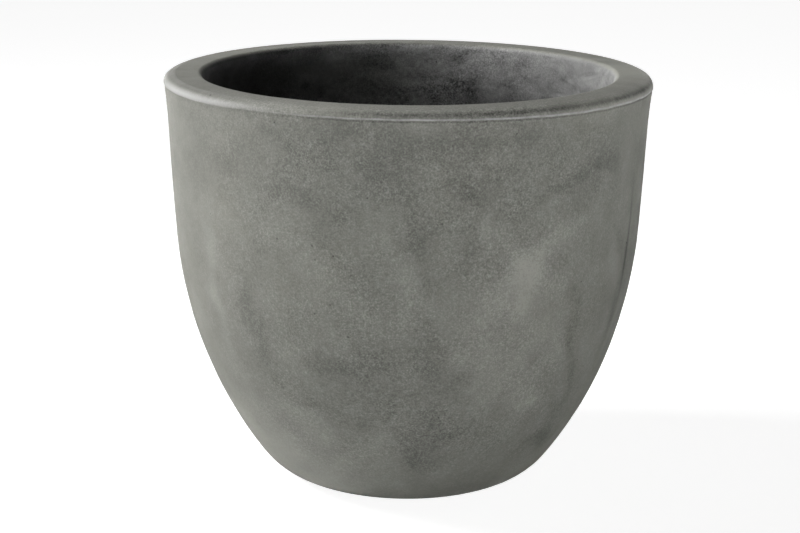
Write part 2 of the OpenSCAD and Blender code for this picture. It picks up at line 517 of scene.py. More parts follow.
@dataclass(frozen=True)
class ConcreteFinish(Finish):
    """Fine-grained cast concrete: clouded, sandy, smeared by hand, with a worn rim, painted light and shade on the
    rim and painted shade inside.

    The mesh stores six numbers for each point: "inside" is 1 on the inner face, "bloom" is the
    sum of the soft patches, some of the concrete's own tone and some painted light and shade,
    "edge" is the height over the mould line in millimetres, which goes on inwards over the rim's
    flat top, "bead" is 1 on the rim's bead, "lip" on its rounded inner edge, and "damp" is the
    painted shade on the inner face. Marks that lie on one side of the bowl read "east", which is -1
    at its left end, 0 at its front and back and 1 at its right end.

    A tone is a number from 0 to 1 that mixes a face's darkest colour with its lightest. Each is
    the face's own colour times a gain. The two turns of the smears are in radians.
    """

    dark_gain: float = 0.3
    light_gain: float = 1.7
    inner_colour: tuple[float, float, float] = (0.301, 0.301, 0.296)
    inner_dark_gain: float = 0.1
    inner_light_gain: float = 2.1
    warm_colour: tuple[float, float, float] = (0.262, 0.258, 0.222)
    # Pale neutral colour of the painted highlights on the rim, and of its worn mould line.
    highlight_and_wear_colour: tuple[float, float, float] = (0.55, 0.548, 0.552)
    hole_spacing: float = 0.017
    rising_turn: float = 0.72
    falling_turn: float = -0.95

    def looks(self, graph: Graph) -> dict[str, Any]:
        """Values and links of the shader's sockets.

        Args:
            graph: The material's nodes.

        Returns:
            A number, a value or a link for each socket, by name.
        """
        place = graph.place()
        x, y, z = graph.parts(place)
        radius = graph.math("SQRT", x * x + y * y)
        east = x / radius
        inside, edge, bead = graph.attribute("inside"), graph.attribute("edge"), graph.attribute("bead")

        # Patterns all over the bowl. Sand and grain stand out most at its front and back, and in patches.
        clouds = graph.noise(place, size=0.085, detail=4.0, roughness=0.5, distortion=0.35)
        patches = graph.noise(place, size=0.022, detail=3.0, roughness=0.6, distortion=0.3)
        sand = graph.noise(place, size=0.0042, detail=2.0, roughness=0.7)
        grain = graph.noise(place, size=0.0017, detail=1.0, roughness=0.6)
        holes = self._air_holes(graph, place)
        smears = self._smears(graph, place)
        streaks = self._streaks(graph, east, y / radius, z)
        cast_face = ((x * 0.07 - y) / radius).math("ABSOLUTE").step(0.4, 0.98)
        elsewhere = graph.vector("ADD", place, (0.7, 2.3, 1.1))
        patchy = graph.noise(elsewhere, size=0.045, detail=3.0, roughness=0.6).step(0.35, 0.65)
        rough = (0.27 + cast_face * z.step(0.0, 0.1) * 0.7) * (0.75 + patchy * 0.5)
        speck = (sand - 0.5) * 0.4 + (grain - 0.5) * 0.6
        specks = (speck + speck * speck * 1.4) * rough

        # The rim, with painted light and shade: a painted highlight on the bead's left side under a painted
        # shade on its shoulder, a worn mould line at the front and right with a painted highlight along it,
        # a painted band of light over it on the right and a painted shadow under it, and a painted shade in
        # the crease over the bead.
        facing = east.step(-0.72, -0.1)
        broken = graph.noise(place, size=0.012, detail=3.0, roughness=0.65).step(0.4, 0.6)
        # Painted highlight where the key light falls on the bead's left side.
        painted_bead_highlight = edge.near(3.3, 4.8) * bead * east.step(-0.42, -0.9) * (1 - east.step(-0.9, -1.0) * 0.5)
        # Painted shade on the top of the bead at the left, which keeps the painted highlight narrow.
        painted_shoulder_shade = edge.near(8.0, 2.2) * east.step(-0.6, -0.95)
        # The worn mould line at the front and right: pale from wear, with a painted highlight along it.
        worn = edge.near(1.3, 1.5) * facing * (0.5 + broken * 0.5)
        # A painted band of light on the bead over the mould line, on the right.
        painted_light_band = edge.near(2.4, 3.4) * east.step(0.3, 0.85)
        # Under the mould line: a painted shadow in the colour and a shallow groove in the bump.
        under = edge.near(-0.8, 1.6) * facing
        # Painted shade in the crease over the bead, at the front and right.
        painted_crease_shade = edge.near(5.7, 3.0) * east.step(-0.6, 0.0)
        # Painted highlight on the inner lip at the right, and painted shade on its left half.
        lip_light_and_shade = east.step(0.0, 0.2) * 0.25 - 0.25 + east.step(0.2, 0.6) * 0.38 - east.step(0.6, 1.0) * 0.36
        lip = graph.attribute("lip") * lip_light_and_shade

        tone = (
            0.505
            + (clouds - 0.5) * 0.2
            + (patches - 0.5) * 0.18
            + specks * 1.4
            + smears * 0.34
            + streaks * 0.06
            + graph.attribute("bloom") * 0.34
            - painted_shoulder_shade * 0.2
            + lip
            + painted_light_band * 0.2
            - bead * east.step(-0.9, -0.6) * 0.06
            - under * 0.24
            - painted_crease_shade * (0.2 + 0.13 * broken)
            - holes * 0.3
        )
        outer = graph.mix(tone, rgba(self.colour, self.dark_gain), rgba(self.colour, self.light_gain))

        # The inside: trowelled, and darker and plainer under painted shade.
        flattened = graph.scaled(place, 1.0, 1.0, 2.2)
        trowel = graph.noise(flattened, size=0.045, detail=4.0, roughness=0.6, distortion=0.8)
        # Painted shade on the inside, which also makes it plainer.
        damp = graph.attribute("damp")
        mottle = (tone - 0.5) * 0.9 + (trowel - 0.5) * 0.8
        inner_tone = 0.5 + mottle * (1 - damp * 0.75) - damp * 0.43
        inner_dark = rgba(self.inner_colour, self.inner_dark_gain)
        inner_light = rgba(self.inner_colour, self.inner_light_gain)
        both = graph.mix(inside, outer, graph.mix(inner_tone, inner_dark, inner_light))

        # Warmer clouds outside, and a pale neutral colour for the painted highlight on the bead and for the worn
        # mould line with its painted highlight.
        warm = graph.noise(graph.vector("ADD", place, (3.1, 1.7, 0.4)), size=0.12, detail=3.0, roughness=0.5)
        tinted = graph.mix(warm.step(0.45, 0.75) * (1 - inside) * 0.25, both, rgba(self.warm_colour))
        with_highlights_and_wear = graph.mix(painted_bead_highlight * 0.55 + worn * 0.8, tinted, rgba(self.highlight_and_wear_colour))

        relief = (
            (sand - 0.5) * rough * 0.3
            + (grain - 0.5) * rough * 0.18
            + (patches - 0.5) * 0.3
            - holes * 0.5
            - under * 0.12
            + worn * 0.1
            + (trowel - 0.5) * inside * 0.6
        )
        return {
            "Base Color": with_highlights_and_wear,
            "Roughness": 0.8 + (sand - 0.5) * 0.2 - bead * 0.2 + inside * 0.1,
            "Specular IOR Level": 0.06,
            "Diffuse Roughness": 0.6,
            "Coat Weight": bead * 0.1 * east.step(0.1, -0.6),
            "Coat Roughness": 0.36,
            "Normal": graph.bump(relief),
        }

    def _air_holes(self, graph: Graph, place: bpy.types.NodeSocket) -> Value:
        """Round air holes of a millimetre or two, in about a quarter of the cells."""
        distance, chance = graph.cells(place, self.hole_spacing)
        return distance.step(0.075, 0.045) * chance.step(0.72, 0.76)

    def _smears(self, graph: Graph, place: bpy.types.NodeSocket) -> Value:
        """Smears that the hand float left slantwise on the front and the back.

        Args:
            graph: The material's nodes.
            place: Where they are read.

        Returns:
            The smears that rise and those that fall to the right, from -0.5 to 0.5.
        """
        settings = {"rotation_type": "Y_AXIS"}
        inputs = {"Vector": place, "Angle": self.rising_turn}
        slanted = graph.scaled(graph.node("ShaderNodeVectorRotate", settings, inputs).outputs[0], 0.16, 0.6, 1.0)
        rising = graph.noise(slanted, size=0.03, detail=4.0, roughness=0.6, distortion=0.5)
        inputs["Angle"] = self.falling_turn
        slanted = graph.scaled(graph.node("ShaderNodeVectorRotate", settings, inputs).outputs[0], 0.2, 0.6, 1.0)
        falling = graph.noise(slanted, size=0.035, detail=4.0, roughness=0.6, distortion=0.5)
        return rising * 0.55 + falling * 0.45 - 0.5

    @staticmethod
    def _streaks(graph: Graph, east: Value, north: Value, z: Value) -> Value:
        """Faint upright streaks that follow the wall.

        Args:
            graph: The material's nodes.
            east: The point's x over its distance from the axis.
            north: The point's y over its distance from the axis.
            z: The point's height.

        Returns:
            The streaks, from -0.5 to 0.5.
        """
        inputs = {0: east * 12.0, 1: north * 12.0, 2: z * 2.5}
        around = graph.node("ShaderNodeCombineXYZ", None, inputs).outputs[0]
        return graph.noise(around, size=1.0, detail=4.0, roughness=0.6, distortion=0.3) - 0.5


@dataclass(frozen=True)
class PlasticFinish(Finish):
    """Dull extruded plastic, scratched and splashed with cement."""

    worn_gain: float = 2.2
    cement: tuple[float, float, float] = (0.2, 0.2, 0.185)

    def looks(self, graph: Graph) -> dict[str, Any]:
        """Values and links of the shader's sockets.

        Args:
            graph: The material's nodes.

        Returns:
            A number, a value or a link for each socket, by name.
        """
        place = graph.place()
        scratches = graph.noise(graph.scaled(place, 1.0, 1.0, 9.0), size=0.004, detail=3.0, roughness=0.65)
        splash = graph.noise(place, size=0.006, detail=3.0, roughness=0.6).step(0.58, 0.68)
        worn = graph.mix(scratches * 0.5, rgba(self.colour), rgba(self.colour, self.worn_gain))
        return {
            "Base Color": graph.mix(splash * 0.7, worn, rgba(self.cement)),
            "Roughness": 0.42 + scratches * 0.25 + splash * 0.25,
            "Normal": graph.bump((scratches - 0.5) * 0.08 + splash * 0.12),
        }


@dataclass(frozen=True)
class RubberFinish(Finish):
    """Moulded rubber with a dusty bloom."""

    dust: tuple[float, float, float] = (0.085, 0.083, 0.076)

    def looks(self, graph: Graph) -> dict[str, Any]:
        """Values and links of the shader's sockets.

        Args:
            graph: The material's nodes.

        Returns:
            A number, a value or a link for each socket, by name.
        """
        place = graph.place()
        dust = graph.noise(place, size=0.009, detail=4.0, roughness=0.65).step(0.4, 0.75)
        pebble = graph.noise(place, size=0.0009, detail=1.0, roughness=0.5)
        return {
            "Base Color": graph.mix(dust * 0.5, rgba(self.colour), rgba(self.dust)),
            "Roughness": 0.55 + dust * 0.3,
            "Specular IOR Level": 0.4,
            "Normal": graph.bump((pebble - 0.5) * 0.05 + dust * 0.02),
        }


@dataclass(frozen=True)
class SteelFinish(Finish):
    """Drawn steel with mill scale and patches of rust, which cover more where rusted is higher."""

    rust: tuple[float, float, float] = (0.17, 0.062, 0.022)
    rusted: float = 0.5

    def looks(self, graph: Graph) -> dict[str, Any]:
        """Values and links of the shader's sockets.

        Args:
            graph: The material's nodes.

        Returns:
            A number, a value or a link for each socket, by name.
        """
        place = graph.place()
        scale = graph.noise(place, size=0.012, detail=4.0, roughness=0.65)
        pitting = graph.noise(place, size=0.0012, detail=2.0, roughness=0.6)
        rust = (scale * 0.7 + pitting * 0.3).step(0.62 - 0.2 * self.rusted, 0.72 - 0.2 * self.rusted)
        steel = graph.mix(pitting, rgba(self.colour, 0.7), rgba(self.colour, 1.3))
        return {
            "Base Color": graph.mix(rust, steel, rgba(self.rust)),
            "Metallic": 1 - rust,
            "Roughness": 0.42 + rust * 0.4 + (pitting - 0.5) * 0.15,
            "Normal": graph.bump((pitting - 0.5) * 0.06 + rust * 0.05),
        }


# ---------------------------------------------------------------------------------------------
# The planter's pieces
# ---------------------------------------------------------------------------------------------


class Body(Enum):
    """The bodies that pieces ride on."""

    PLANTER = "planter"
    STOPPER = "stopper"


def attach(made: bpy.types.Object, body: Body, node: str, finish: Finish) -> None:
    """Dresses a piece and puts it in the place of a CAD node.

    Args:
        made: The piece.
        body: The body that it rides on.
        node: The CAD node that it stands for.
        finish: Its finish.
    """
    made.data.materials.append(finish.material())
    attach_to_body(made, body.value)
    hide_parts(node)
    log.info("%s: %d points, %d faces", made.name, len(made.data.vertices), len(made.data.polygons))


@dataclass(frozen=True)
class SoftPatch:
    """A soft patch on the outer or the inner face, pale where its strength is over 0 and dark where it is under. Some
    give the concrete's own tone, others are painted light and painted shade.

    Its place is an azimuth from the front, with the right side at 90, and a height. A lean turns
    it, with the right end up. A crisp patch ends that many times more sharply on its lower side,
    which a lean past 90 degrees turns up.
    """

    azimuth: float
    height: float
    half_width: float
    half_height: float
    strength: float
    lean: float = 0.0
    crisp: float = 1.0


# The patches and float strokes that stand out on the photographed bowl, placed one by one
OUTER_PATCHES = (
    # Broad and faint: a paler belly, a darker belt under the rim, painted shade low on the right, and a painted pool
    # of light low on the left.
    SoftPatch(0, 0.235, 0.24, 0.07, 0.34),
    SoftPatch(-20, 0.388, 0.22, 0.026, -0.2),
    SoftPatch(-64, 0.360, 0.06, 0.04, -0.25),
    # Painted shade on the right flank, away from the key light.
    SoftPatch(72, 0.26, 0.05, 0.09, -0.5),
    # Painted light from the floor, low on the left.
    SoftPatch(-64, 0.045, 0.12, 0.05, 1.2),
    SoftPatch(-72, 0.395, 0.09, 0.045, 0.15),
    SoftPatch(-55, 0.300, 0.03, 0.10, -0.12),
    # Painted shade along the foot at the front.
    SoftPatch(0, 0.012, 0.10, 0.016, -0.4),
    SoftPatch(72, 0.345, 0.03, 0.05, -0.15),
    SoftPatch(-76, 0.180, 0.02, 0.10, -0.2),
    # The left side: a dark upright band with a pale one beside it, and slanting marks over them.
    SoftPatch(-52, 0.235, 0.07, 0.017, 0.5, lean=92, crisp=2.0),
    SoftPatch(-39.5, 0.215, 0.06, 0.019, -0.5, lean=-88, crisp=2.0),
    SoftPatch(-24, 0.338, 0.036, 0.012, -0.45, lean=-17),
    SoftPatch(-30, 0.396, 0.028, 0.004, -0.35, lean=-28),
    SoftPatch(-46, 0.362, 0.012, 0.012, -0.25),
    SoftPatch(-13, 0.405, 0.010, 0.006, -0.3),
    SoftPatch(-13, 0.376, 0.014, 0.005, 0.3, lean=85),
    SoftPatch(-9, 0.394, 0.008, 0.005, 0.3),
    SoftPatch(-12, 0.323, 0.022, 0.014, -0.35),
    SoftPatch(-20, 0.285, 0.020, 0.020, 0.3),
    SoftPatch(-16, 0.240, 0.030, 0.022, 0.25),
    SoftPatch(-14, 0.210, 0.020, 0.012, 0.2),
    SoftPatch(-35, 0.030, 0.060, 0.025, 0.5),
    SoftPatch(-29, 0.178, 0.030, 0.016, 0.3),
    SoftPatch(-35, 0.142, 0.012, 0.006, -0.4, lean=-45),
    SoftPatch(-27, 0.124, 0.018, 0.003, -0.5),
    SoftPatch(-18, 0.172, 0.034, 0.012, -0.45, lean=-14),
    SoftPatch(-15, 0.128, 0.012, 0.005, 0.35, lean=20),
    SoftPatch(-36, 0.140, 0.030, 0.014, 0.2),
    SoftPatch(-29, 0.390, 0.020, 0.012, 0.18),
    SoftPatch(-20, 0.096, 0.014, 0.014, 0.18),
    SoftPatch(-12, 0.114, 0.010, 0.007, -0.35),
    SoftPatch(-26, 0.090, 0.055, 0.032, 0.35),
    SoftPatch(-8, 0.092, 0.014, 0.004, 0.3, lean=25),
    # The middle: a pale stroke, a dark V beside it, and dark spots down to the foot.
    SoftPatch(-6, 0.365, 0.022, 0.018, -0.45),
    SoftPatch(3, 0.412, 0.020, 0.005, 0.4),
    SoftPatch(13, 0.393, 0.070, 0.010, -0.25),
    SoftPatch(6, 0.345, 0.016, 0.014, 0.3),
    SoftPatch(13.5, 0.351, 0.024, 0.008, -0.5, lean=-40),
    SoftPatch(18.5, 0.319, 0.016, 0.006, 0.5, lean=75),
    SoftPatch(-2.5, 0.287, 0.040, 0.012, 0.5, lean=120, crisp=2.2),
    SoftPatch(3, 0.295, 0.044, 0.009, -0.45, lean=-76, crisp=2.0),
    SoftPatch(13, 0.286, 0.030, 0.012, -0.5, lean=76),
    SoftPatch(8, 0.170, 0.028, 0.014, -0.55, lean=-55),
    SoftPatch(4, 0.346, 0.060, 0.009, -0.16),
    SoftPatch(12, 0.199, 0.012, 0.008, -0.2),
    SoftPatch(3, 0.152, 0.010, 0.008, -0.35),
    SoftPatch(9.5, 0.108, 0.026, 0.010, -0.6, lean=-40),
    SoftPatch(4.5, 0.062, 0.036, 0.020, -0.42, lean=88),
    # The right side: a dark line with a bright swath under it, and a dark upright band by the edge.
    SoftPatch(34, 0.185, 0.055, 0.075, 0.3),
    SoftPatch(46, 0.412, 0.045, 0.012, 0.25),
    SoftPatch(20, 0.378, 0.030, 0.008, 0.25),
    SoftPatch(40, 0.350, 0.056, 0.008, -0.55, lean=21, crisp=2.0),
    SoftPatch(53, 0.362, 0.022, 0.016, -0.4),
    SoftPatch(38, 0.302, 0.055, 0.014, 0.55, lean=-153, crisp=1.6),
    SoftPatch(28.5, 0.256, 0.034, 0.024, 0.85, lean=50, crisp=1.8),
    SoftPatch(26, 0.278, 0.010, 0.007, 0.5, lean=-50),
    SoftPatch(45.5, 0.190, 0.075, 0.013, -0.6, lean=102, crisp=1.6),
    SoftPatch(51, 0.128, 0.026, 0.010, -0.35, lean=104),
    SoftPatch(41, 0.264, 0.020, 0.010, 0.3, lean=80),
    SoftPatch(16, 0.172, 0.035, 0.045, 0.35, lean=-90, crisp=4.0),
    SoftPatch(17, 0.150, 0.012, 0.006, 0.4, lean=45),
    SoftPatch(36, 0.122, 0.020, 0.014, 0.65),
    SoftPatch(29, 0.244, 0.040, 0.018, 0.2),
    SoftPatch(34, 0.078, 0.024, 0.016, 0.18),
    SoftPatch(51, 0.276, 0.016, 0.014, -0.2),
    SoftPatch(48, 0.072, 0.030, 0.012, -0.7),
    SoftPatch(66, 0.262, 0.003, 0.048, -0.9, lean=-3),
    SoftPatch(63, 0.188, 0.007, 0.036, -0.5, lean=-6),
    # The rim's flat top.
    SoftPatch(94, 0.425, 0.110, 0.006, 1.1),
    SoftPatch(-14, 0.425, 0.090, 0.006, 0.45),
)
INNER_PATCHES = (
    SoftPatch(98, 0.402, 0.050, 0.024, -0.2),
    SoftPatch(113, 0.408, 0.022, 0.008, 0.25),
    SoftPatch(168, 0.394, 0.034, 0.030, -0.5),
    SoftPatch(141, 0.386, 0.060, 0.016, -0.4),
    SoftPatch(-149, 0.402, 0.046, 0.013, 2.2),
    SoftPatch(-174, 0.392, 0.020, 0.012, 0.6),
    SoftPatch(156, 0.384, 0.012, 0.010, 0.6),
    SoftPatch(170, 0.366, 0.014, 0.009, -0.6),
    SoftPatch(151, 0.403, 0.040, 0.012, -0.3),
    SoftPatch(171, 0.396, 0.020, 0.012, 0.4),
    SoftPatch(151, 0.398, 0.034, 0.010, 0.45, lean=20),
    SoftPatch(-161, 0.412, 0.060, 0.007, -0.3),
    SoftPatch(161, 0.376, 0.022, 0.012, -0.3),
    SoftPatch(124, 0.398, 0.028, 0.004, -0.8, lean=32),
    # A painted shadow line, where the left rim's shadow falls across the back of the inside.
    SoftPatch(-148, 0.380, 0.030, 0.003, -1.3, lean=28),
)


@dataclass(frozen=True)
class CastingRows:
    """Rows of the casting's grid where something starts, from the drain's lower edge round to it again."""

    heel: int
    rim: int
    flat: int
    lip: int
    inner_wall: int
    floor: int
    outlet: int


@dataclass
class Casting:
    """The concrete bowl: rim bead, straight wall, belly, heel, foot, inside and drain opening.

    The wall's outer face is a straight line that leans out by the draft angle, an arc for the
    belly and an arc for the heel, each tangent to the next. It flares out a little at its top,
    where a narrow band steps out to the bead: the mould line. The inner face is the outer one
    moved in by the wall.
    """

    rim_radius: float
    height: float
    # The wall, and the rounding of its inner edge
    foot_radius: float = 0.0975
    wall: float = 0.0385
    draft: float = 3.25
    belly_height: float = 0.268
    heel_radius: float = 0.070
    lip: float = 0.006
    # The bead, and the mould line under it
    bead_height: float = 0.0085
    bead_reach: float = 0.013
    bead_band: float = 0.001
    bead_step: float = 0.0005
    flare: float = 0.001
    flare_height: float = 0.046
    mould_wander: float = 0.0005
    mould_dip: float = 0.0018
    # The drain's opening
    hole_radius: float = 0.0152
    recess_radius: float = 0.0262
    recess_depth: float = 0.0032
    groove_radius: float = 0.0202
    groove_low: float = 0.01755
    groove_high: float = 0.02045
    # How uneven the faces are: the rim's share, the most it rises, and how far its top stays down
    rim_share: float = 0.3
    rim_rise: float = 0.00002
    top_drop: float = 0.00005
    top_depth: float = 0.004
    even_below: float = 0.004
    uneven_above: float = 0.03
    # How far the mesh stays inside the solid, and its columns
    edge_slack: float = 0.00015
    columns: int = 600
    outer_patches: tuple[SoftPatch, ...] = OUTER_PATCHES
    inner_patches: tuple[SoftPatch, ...] = INNER_PATCHES

    def __post_init__(self) -> None:
        """Works out the arcs of the outer face, each tangent to the next."""
        self.rim_radius -= self.edge_slack
        self.wall_top = (self.rim_radius - self.bead_step, self.height - self.bead_height - self.bead_band)
        start = np.array([self._straight_radius(self.belly_height), self.belly_height])
        heel_centre = np.array([self.foot_radius, self.heel_radius])
        inward = np.array([-math.cos(math.radians(self.draft)), math.sin(math.radians(self.draft))])
        reach = start - heel_centre
        gap = reach @ reach - self.heel_radius**2
        self.belly_radius = float(gap / (-2 * (reach @ inward) - 2 * self.heel_radius))
        self.belly_start = start
        self.belly_centre = start + self.belly_radius * inward
        heel_side = heel_centre - self.belly_centre
        self.heel_angle = math.degrees(math.atan2(heel_side[1], heel_side[0]))

    def _straight_radius(self, height: float | np.ndarray) -> float | np.ndarray:
        """Radius of the straight wall's line at a height."""
        slope = math.tan(math.radians(self.draft))
        return self.wall_top[0] - self.flare - (self.wall_top[1] - height) * slope

    def _flared(self, count: int = 8) -> np.ndarray:
        """The flared top of the wall, tangent to the straight wall: its line + flare * t squared.

        Args:
            count: Number of points.

        Returns:
            The points, one row each, without the last one.
        """
        t = np.arange(count) / count
        heights = self.wall_top[1] - self.flare_height * (1 - t)
        return np.stack([self._straight_radius(heights) + self.flare * t * t, heights], axis=1)

    def _outer(self) -> list[np.ndarray]:
        """The section from the drain hole out along the foot and up to the rim's flat top.

        Returns:
            The foot, the heel, the belly, the wall, its flare, the two halves of the band and the bead.
        """
        band_top = self.height - self.bead_height
        flared = self._flared()
        step_out = (self.rim_radius, self.wall_top[1] + self.bead_band / 2)
        heel_centre, belly_centre = (self.foot_radius, self.heel_radius), tuple(self.belly_centre)
        bead_centre = (self.rim_radius - self.bead_reach, band_top)
        return [
            stretch((self.hole_radius, 0), (self.foot_radius, 0), step=0.010),
            bend(heel_centre, self.heel_radius, start=-90, end=self.heel_angle, step=0.0055),
            bend(belly_centre, self.belly_radius, start=self.heel_angle, end=-self.draft, step=0.0085),
            stretch(tuple(self.belly_start), tuple(flared[0]), step=0.0088),
            flared,
            stretch(self.wall_top, step_out, step=0.0003),
            stretch(step_out, (self.rim_radius, band_top), step=0.0003),
            quarter_oval(bead_centre, reach=self.bead_reach, rise=self.bead_height, step=0.0012),
        ]

    def _inner(self) -> list[np.ndarray]:
        """The section from the rim's flat top, over the lip and down to the floor.

        Returns:
            The flat top, the lip, the inner wall, the inner belly and the inner heel.
        """
        across, along = math.cos(math.radians(self.draft)), math.sin(math.radians(self.draft))
        lip_height = self.height - self.lip
        lip_depth = self.wall / across - self.lip / across
        lip_centre = (self._straight_radius(lip_height) - lip_depth, lip_height)
        lip_end = (lip_centre[0] - self.lip * across, lip_centre[1] + self.lip * along)
        heel_centre, belly_centre = (self.foot_radius, self.heel_radius), tuple(self.belly_centre)
        belly_radius, heel_radius = self.belly_radius - self.wall, self.heel_radius - self.wall
        inner_start = self.belly_centre + belly_radius * np.array([across, -along])
        bead_end = (self.rim_radius - self.bead_reach, self.height)
        return [
            stretch(bead_end, (lip_centre[0], self.height), step=0.0023),
            bend(lip_centre, self.lip, start=90, end=180 - self.draft, step=0.001),
            stretch(lip_end, tuple(inner_start), step=0.0095),
            bend(belly_centre, belly_radius, start=-self.draft, end=self.heel_angle, step=0.0125),
            bend(heel_centre, heel_radius, start=self.heel_angle, end=-90, step=0.004),
        ]

    def _drain(self) -> list[np.ndarray]:
        """The section along the floor to the drain and down through it.

        Returns:
            The floor, the recess of the sleeve's flange, and the hole with the groove of its water stop.
        """
        floor, hole = self.wall, self.hole_radius
        ledge = floor - self.recess_depth
        corners = [
            (self.foot_radius, floor),
            (self.recess_radius, floor),
            (self.recess_radius, ledge),
            (hole, ledge),
            (hole, self.groove_high),
            (self.groove_radius, self.groove_high),
            (self.groove_radius, self.groove_low),
            (hole, self.groove_low),
            (hole, 0.0),
        ]
        return [stretch(start, end, step=0.010) for start, end in zip(corners, corners[1:])]

    def build(self) -> bpy.types.Object:
        """Builds the casting's mesh, with its uneven faces and the numbers that its material reads.

        Returns:
            The casting.
        """
        outer, inner, drain = self._outer(), self._inner(), self._drain()
        section = np.concatenate(outer + inner + drain)
        flat = len(np.concatenate(outer))
        rows = CastingRows(
            heel=len(outer[0]),
            rim=flat - len(np.concatenate(outer[-3:])),
            flat=flat,
            lip=flat + len(inner[0]),
            inner_wall=flat + len(inner[0]) + len(inner[1]),
            floor=flat + len(np.concatenate(inner)),
            outlet=len(section) - len(drain[-1]),
        )
        row = np.arange(len(section))[:, None]
        even, angles = turned(section, self.columns)
        normals, _ = turned(section_normals(section), self.columns)
        heights = even[:, :, 2]
        grid = even + self._lift(even, row, rows)[:, :, None] * normals
        grid[:, :, 2] += self._wander(angles)[None, :] * self._near_mould_line(heights) * (row < rows.flat)
        made = ring_object("bowl_casting", grid)
        for name, numbers in self._marks(even, grid, row, rows).items():
            point_values(made, name, np.broadcast_to(numbers, heights.shape))
        return made

    def _lift(self, even: np.ndarray, row: np.ndarray, rows: CastingRows) -> np.ndarray:
        """How far each point stands out from the even surface, or in.

        The outer and the inner face are uneven, all but the foot, the floor and the drain. The rim
        is less so, and its top stays under the solid's.

        Args:
            even: The even surface's points, as rows, columns and (x, y, z).
            row: Each row's number, as a column.
            rows: Where the casting's parts start.

        Returns:
            A length for each point of the grid.
        """
        heights = even[:, :, 2]
        lip_top = rows.lip + 3
        on_rim = (row >= rows.rim) & (row < lip_top)
        share = ((row >= rows.heel) & (row < rows.floor)) * np.where(on_rim, self.rim_share, 1.0)
        lift = self._unevenness(even.reshape(-1, 3)).reshape(heights.shape)
        lift = lift * share * smooth_step(heights, self.even_below, self.uneven_above)
        lift = np.where(on_rim, np.minimum(lift, self.rim_rise), lift)
        return np.where(heights > self.height - self.top_depth, np.minimum(lift, 0) - self.top_drop, lift)

    def _marks(self, even: np.ndarray, grid: np.ndarray, row: np.ndarray, rows: CastingRows) -> dict[str, np.ndarray]:
        """The numbers that the concrete reads, which ConcreteFinish explains.

        Args:
            even: The even surface's points, as rows, columns and (x, y, z).
            grid: The finished surface's points.
            row: Each row's number, as a column.
            rows: Where the casting's parts start.

        Returns:
            An array of the grid's shape, or a column, for each name.
        """
        points, heights = even.reshape(-1, 3), even[:, :, 2]
        line = self.wall_top[1]
        outside = row < rows.flat
        fade_start = rows.lip + (rows.inner_wall - rows.lip) // 3
        fade_end = fade_start + 4
        inside = smooth_step(row, fade_start, fade_end) * (row < rows.outlet - 1)
        over_rim = self._over_rim(grid, (row >= rows.flat) & (row < rows.lip))
        lip_rows = [rows.lip, (rows.lip + rows.inner_wall) / 2, rows.inner_wall]
        return {
            "inside": inside,
            "bloom": self._sum_patches(points, np.broadcast_to(inside, heights.shape).ravel()).reshape(heights.shape),
            "edge": np.where(outside, heights - line, over_rim) / MM,
            "bead": smooth_step(heights, line, line + MM) * outside,
            "lip": np.interp(row, lip_rows, [0.0, 1.0, 0.0]),
            "damp": self._painted_inner_shade(points).reshape(heights.shape),
        }

    def _wander(self, angles: np.ndarray) -> np.ndarray:
        """How far the mould line strays up or down round the rim. It dips on the right.

        Args:
            angles: Angle of each column.

        Returns:
            A length for each column.
        """
        around = np.stack([np.cos(angles), np.sin(angles)], axis=1)
        waves = 0.7 * ripple(around, wavelength=0.9, seed=31) + 0.3 * ripple(around, wavelength=0.12, seed=32)
        return self.mould_wander * waves - self.mould_dip * smooth_step(np.cos(angles), 0.3, 0.9)

    def _near_mould_line(self, heights: np.ndarray) -> np.ndarray:
        """Is 1 at the mould line and fades to 0 over the wall under it and the bead over it."""
        over = heights - self.wall_top[1]
        return smooth_step(over, -0.014, -0.003) * smooth_step(over, 0.007, 0.0012)

    @staticmethod
    def _unevenness(points: np.ndarray) -> np.ndarray:
        """How far the hand-finished faces stand out or in: long, middle and short waves added up.

        Args:
            points: Places, one row each.

        Returns:
            A length for each point.
        """
        return (
            0.22 * MM * ripple(points, wavelength=0.16, seed=11)
            + 0.10 * MM * ripple(points, wavelength=0.055, seed=12)
            + 0.05 * MM * ripple(points, wavelength=0.018, seed=13)
        )

    def _over_rim(self, grid: np.ndarray, on_flat: np.ndarray) -> np.ndarray:
        """How far a point of the flat top lies over the mould line: up the bead, then inwards.

        Args:
            grid: The surface's points, as rows, columns and (x, y, z).
            on_flat: Whether each row lies on the flat top, as a column.

        Returns:
            A length for each point, far under 0 off the flat top.
        """
        radius = np.hypot(grid[:, :, 0], grid[:, :, 1])
        way = self.bead_height + self.bead_band + self.rim_radius - self.bead_reach - radius
        return np.where(on_flat, way, -0.1)

    @staticmethod
    def _painted_inner_shade(points: np.ndarray) -> np.ndarray:
        """How dark the painted shade on the inner face is: the left side, in the rim's shadow, and low down on the
        right.

        Args:
            points: Places, one row each.

        Returns:
            One value for each point, from 0 to about 1.
        """
        x, z = points[:, 0], points[:, 2]
        slanted = x - 0.8 * (z - 0.385) + 0.012 * ripple(points, wavelength=0.12, seed=23)
        left = 1 - smooth_step(slanted, -0.13, -0.01)
        low = 1 - smooth_step(z + 0.004 * ripple(points, wavelength=0.05, seed=24), 0.362, 0.405)
        return left + 0.85 * low * smooth_step(x, 0.02, 0.08) * (1 - smooth_step(x, 0.12, 0.18))

